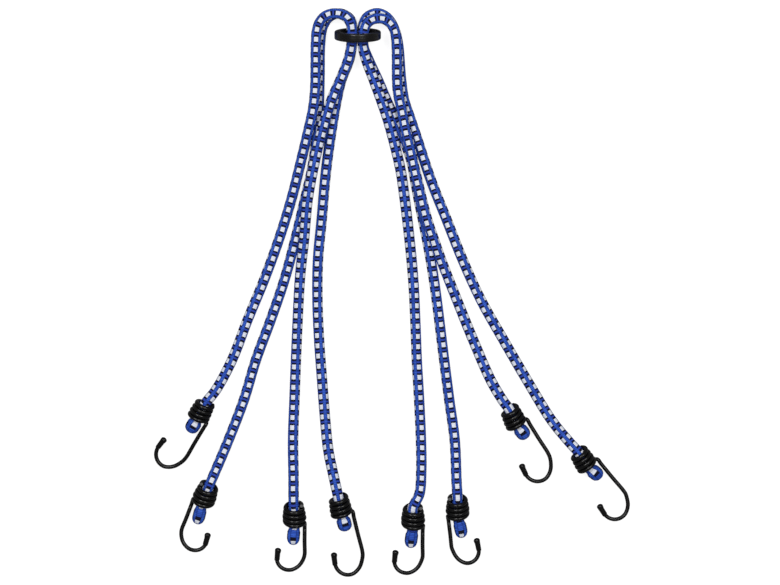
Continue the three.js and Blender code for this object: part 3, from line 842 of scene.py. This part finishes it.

# %% [markdown]
# Every pick is a small bulge, rounded towards the grooves round it, and it shows its few threads.
# The height feeds the bump, and the groove mask paints shade into the colour.

# %% Braid group: relief
THREAD_DEPTH = 0.12
RIB_POWER = 0.7
EDGE_STEEPNESS = 6.0
EDGE_SOFTNESS = 0.4
rib = work_out(braid, "SINE", work_out(braid, "MULTIPLY", pick_share, math.pi))
rib = work_out(braid, "POWER", rib, RIB_POWER)
edge = work_out(braid, "MULTIPLY_ADD", from_middle, -EDGE_STEEPNESS, EDGE_STEEPNESS / 2)
edge = work_out(braid, "SMOOTH_MIN", edge, 1.0, EDGE_SOFTNESS)
bulge = work_out(braid, "MULTIPLY", rib, edge)
threads = work_out(braid, "MULTIPLY", pick_share, given["Threads"])
threads = work_out(braid, "SINE", work_out(braid, "MULTIPLY", threads, math.tau))
fine = work_out(braid, "MULTIPLY_ADD", threads, THREAD_DEPTH, 1 - THREAD_DEPTH)
join(braid, work_out(braid, "MULTIPLY", bulge, fine), results["Height"])
# The groove mask serves only to paint shade into the sheath's colour.
join(braid, work_out(braid, "SUBTRACT", 1.0, bulge), results["Groove shade"])
print("braid group:", len(braid.nodes), "nodes")

# %% [markdown]
# Handled things are never evenly coloured or evenly glossy. One group gives slow mottling and
# fine specks from the place on the object, and the sheath, the coating and the ring all use it,
# each with its own strength.

# %% Handling group
handled, given, results = new_group(
    "handling",
    [("Place", "NodeSocketVector", None), ("Mottle size", FLOAT, 60.0), ("Speck size", FLOAT, 1500.0)],
    [("Mottle", FLOAT), ("Specks", FLOAT)],
)
mottle = add_node(handled, "ShaderNodeTexNoise")
mottle.inputs["Detail"].default_value = 3.0
join(handled, given["Place"], mottle.inputs["Vector"])
join(handled, given["Mottle size"], mottle.inputs["Scale"])
join(handled, mottle.outputs["Fac"], results["Mottle"])
specks = add_node(handled, "ShaderNodeTexNoise")
specks.inputs["Detail"].default_value = 2.0
join(handled, given["Place"], specks.inputs["Vector"])
join(handled, given["Speck size"], specks.inputs["Scale"])
join(handled, specks.outputs["Fac"], results["Specks"])
print("handling group:", len(handled.nodes), "nodes")


def place_handling(tree, mottle_size, speck_size):
    place = add_node(tree, "ShaderNodeTexCoord")
    node = add_node(tree, "ShaderNodeGroup", node_tree=handled)
    join(tree, place.outputs["Object"], node.inputs["Place"])
    node.inputs["Mottle size"].default_value = mottle_size
    node.inputs["Speck size"].default_value = speck_size
    return node.outputs["Mottle"], node.outputs["Specks"]


def mottled_grey(tree, mottle, dark, light):
    """A grey, a little warm or cool, that wanders between a dark and a light shade."""
    return mix_colours(tree, mottle, (*dark, 1), (*light, 1))


def vary_roughness(tree, shader, noise, spread, least):
    """A roughness that wanders up from its least value, by no more than the spread."""
    join(tree, work_out(tree, "MULTIPLY_ADD", noise, spread, least), shader.inputs["Roughness"])


def add_bump(tree, shader, height, strength, distance):
    bump = add_node(tree, "ShaderNodeBump")
    bump.inputs["Strength"].default_value = strength
    bump.inputs["Distance"].default_value = distance
    join(tree, height, bump.inputs["Height"])
    join(tree, bump.outputs["Normal"], shader.inputs["Normal"])


# %% [markdown]
# The sheath is dull royal blue yarn. No two picks catch the light alike, so each has its own
# shade between a dark and a light blue. Shade is painted into the colour down in the grooves,
# and the flecks are mixed over it by the masks of the braid group.

# %% Sheath material
BLUE = (0.014, 0.05, 0.34, 1)
BLUE_WORN = (0.05, 0.15, 0.72, 1)
# Painted shade: the blue mixed in down in the grooves between picks.
BLUE_GROOVE_SHADE = (0.004, 0.01, 0.1, 1)
WHITE_YARN = (0.8, 0.83, 0.9, 1)
# Painted shade: the white mixed in down in the grooves between picks.
WHITE_GROOVE_SHADE = (0.34, 0.37, 0.54, 1)
BLACK_YARN = (0.005, 0.005, 0.016, 1)
VIOLET = (0.03, 0.06, 0.4, 1)
MOTTLE_WEIGHT = 0.5
PICK_WEIGHT = 0.6

sheath, tree, shader = new_material("braided_sheath")
yarn = add_node(tree, "ShaderNodeGroup", node_tree=braid)


def read_map(name):
    """The two coordinates of one of the cord's maps."""
    split = add_node(tree, "ShaderNodeSeparateXYZ")
    join(tree, add_node(tree, "ShaderNodeUVMap", uv_map=name).outputs["UV"], split.inputs[0])
    return split.outputs["X"], split.outputs["Y"]


def paint_groove_shade(share, colour, deep):
    """Paints shade into a colour down in the grooves, by mixing in its shaded copy."""
    return mix_colours(tree, work_out(tree, "MULTIPLY", yarn.outputs["Groove shade"], share), colour, deep)


along, around = read_map("braid")
join(tree, along, yarn.inputs["Along"])
join(tree, around, yarn.inputs["Around"])
join(tree, read_map("knob")[0], yarn.inputs["Knob"])
yarn.inputs["Slant"].default_value = 0.25
yarn.inputs["Threads"].default_value = 3.0
mottle, specks = place_handling(tree, mottle_size=45.0, speck_size=2600.0)
shade = work_out(tree, "MULTIPLY", mottle, MOTTLE_WEIGHT)
shade = work_out(tree, "MULTIPLY_ADD", yarn.outputs["Shade"], PICK_WEIGHT, shade)
# Painted shade in the grooves, on the blue here and on the white flecks below.
colour = paint_groove_shade(0.75, mix_colours(tree, shade, BLUE, BLUE_WORN), BLUE_GROOVE_SHADE)
colour = mix_colours(tree, yarn.outputs["Between"], colour, VIOLET)
colour = mix_colours(tree, yarn.outputs["Black"], colour, BLACK_YARN)
colour = mix_colours(tree, yarn.outputs["White"], colour, paint_groove_shade(0.4, WHITE_YARN, WHITE_GROOVE_SHADE))
join(tree, colour, shader.inputs["Base Color"])
vary_roughness(tree, shader, specks, spread=0.25, least=0.55)
shader.inputs["Specular IOR Level"].default_value = 0.1
relief = work_out(tree, "MULTIPLY_ADD", specks, 0.25, yarn.outputs["Height"])
add_bump(tree, shader, relief, strength=0.6, distance=0.00025)
for piece in cords.values():
    piece.data.materials.append(sheath)
print("sheath:", len(tree.nodes), "nodes, on", len(cords), "cords")

# %% [markdown]
# The coating is a dipped black plastic, glossy but a little uneven, so it shows thin soft lines
# of light. The cut core is plain bare steel with fine scratches from the cutter.

# %% Coating and steel
coating, tree, shader = new_material("coated_wire")
mottle = place_handling(tree, mottle_size=220.0, speck_size=3000.0)[0]
grey = mottled_grey(tree, mottle, (0.001, 0.001, 0.001), (0.003, 0.003, 0.003))
join(tree, grey, shader.inputs["Base Color"])
vary_roughness(tree, shader, mottle, spread=0.15, least=0.2)
shader.inputs["Specular IOR Level"].default_value = 0.28
add_bump(tree, shader, mottle, strength=0.1, distance=0.0001)

steel, tree, shader = new_material("cut_steel")
mottle, specks = place_handling(tree, mottle_size=900.0, speck_size=9000.0)
grey = mottled_grey(tree, mottle, (0.3, 0.3, 0.31), (0.55, 0.55, 0.56))
join(tree, grey, shader.inputs["Base Color"])
vary_roughness(tree, shader, specks, spread=0.3, least=0.25)
shader.inputs["Metallic"].default_value = 1.0
add_bump(tree, shader, specks, strength=0.3, distance=0.00005)

for name, piece in hooks.items():
    piece.data.materials.append(coating)
    piece.data.materials.append(steel)
    for index in core_faces[name]:
        piece.data.polygons[index].material_index = 1
    print(name, "shows bare steel on", len(core_faces[name]), "faces")

# %% [markdown]
# The ring is black moulded plastic with a fine grain. It is less glossy than the coating, so its
# rounded rim shows as a soft grey band.

# %% Ring plastic
plastic, tree, shader = new_material("ring_plastic")
mottle, specks = place_handling(tree, mottle_size=90.0, speck_size=1800.0)
grey = mottled_grey(tree, mottle, (0.001, 0.001, 0.001), (0.0035, 0.003, 0.003))
join(tree, grey, shader.inputs["Base Color"])
vary_roughness(tree, shader, specks, spread=0.2, least=0.18)
shader.inputs["Specular IOR Level"].default_value = 0.4
grain = work_out(tree, "MULTIPLY_ADD", specks, 0.3, mottle)
add_bump(tree, shader, grain, strength=0.2, distance=0.0001)
ring.data.materials.append(plastic)
print("ring plastic:", len(tree.nodes), "nodes")

# %% [markdown]
# The strap lies on a pale table under two soft lights that hang almost over it. The table glows
# to the eye but lights nothing, so its shadows are faint, and the cords stay dark at their edges.
# The table and the lights aren't part of the strap.

# %% Floor and lights
FLOOR_SIZE = 8
BELOW_STRAP = 0.0002
GLOW = 0.88
LIGHT_SIZE = (0.9, 0.7)

bpy.ops.object.select_all(action="DESELECT")
bpy.ops.mesh.primitive_plane_add(size=FLOOR_SIZE, location=(0, 0, -BELOW_STRAP))
floor = bpy.context.view_layer.objects.active
floor.name = "floor"
floor_paint, tree, shader = new_material("floor_paint")
mottle = place_handling(tree, mottle_size=2.0, speck_size=400.0)[0]
grey = mottled_grey(tree, mottle, (0.25, 0.25, 0.25), (0.27, 0.27, 0.27))
join(tree, grey, shader.inputs["Base Color"])
shader.inputs["Roughness"].default_value = 0.8
shader.inputs["Specular IOR Level"].default_value = 0.1
shader.inputs["Emission Color"].default_value = (1, 1, 1, 1)
seen = add_node(tree, "ShaderNodeLightPath").outputs["Is Camera Ray"]
join(tree, work_out(tree, "MULTIPLY", seen, GLOW), shader.inputs["Emission Strength"])
floor.data.materials.append(floor_paint)


def add_soft_light(name, place, power):
    data = bpy.data.lights.new(name, "AREA")
    data.shape = "RECTANGLE"
    data.size, data.size_y = LIGHT_SIZE
    data.energy = power
    light = bpy.data.objects.new(name, data)
    light.location = place
    light.rotation_euler = Vector(place).to_track_quat("Z", "Y").to_euler()
    bpy.context.scene.collection.objects.link(light)


add_soft_light("light_left", (-0.8, 0.5, 2.4), 31)
add_soft_light("light_right", (0.85, 0.3, 2.4), 27)
world = bpy.data.worlds.new("pale_sky")
world.use_nodes = True
sky = world.node_tree.nodes["Background"]
sky.inputs["Color"].default_value = (1, 1, 1, 1)
sky.inputs["Strength"].default_value = 0.22
bpy.context.scene.world = world
bpy.context.scene.view_settings.view_transform = "Standard"
print("lights:", [light.name for light in bpy.data.lights])
